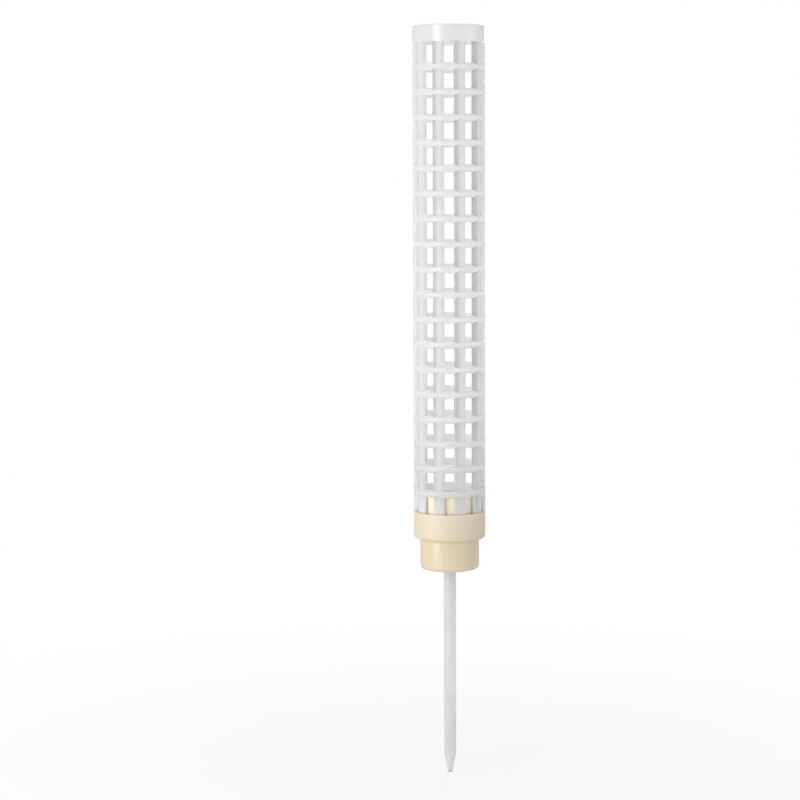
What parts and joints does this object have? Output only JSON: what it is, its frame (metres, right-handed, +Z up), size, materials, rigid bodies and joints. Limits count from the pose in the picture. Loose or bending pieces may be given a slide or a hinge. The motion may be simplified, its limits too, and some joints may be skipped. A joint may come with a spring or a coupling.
{
  "type": "moss pole",
  "caption": "Upright moss pole: a milky plastic net sleeve for moss stands in the grooved collar of a round cream base, above a pointed white stake for the pot's soil.",
  "frame": {"origin": "on the pole's axis, in the flat underside of the base, where the pole meets the soil", "axes": "+Z up along the pole, -Y towards the front, with a column of holes facing it, +X to the right"},
  "size_m": [0.0586, 0.0582, 0.6065],
  "materials": {
    "milky_plastic": "translucent milky moulded plastic, satin",
    "cream_plastic": "cream moulded plastic, soft gloss",
    "white_plastic": "white moulded plastic, soft gloss"
  },
  "bodies": {
    "stake": {"stake": "white_plastic"},
    "base": {"base_plug": "cream_plastic"},
    "sleeve": {"net_sleeve": "milky_plastic"}
  },
  "joints": [
    {"name": "base_lift", "type": "slide", "parent": "stake", "child": "base", "axis": [0, 0, 1], "range_m": [0, 0.045]},
    {"name": "sleeve_lift", "type": "slide", "parent": "base", "child": "sleeve", "axis": [0, 0, 1], "range_m": [0, 0.035]}
  ]
}
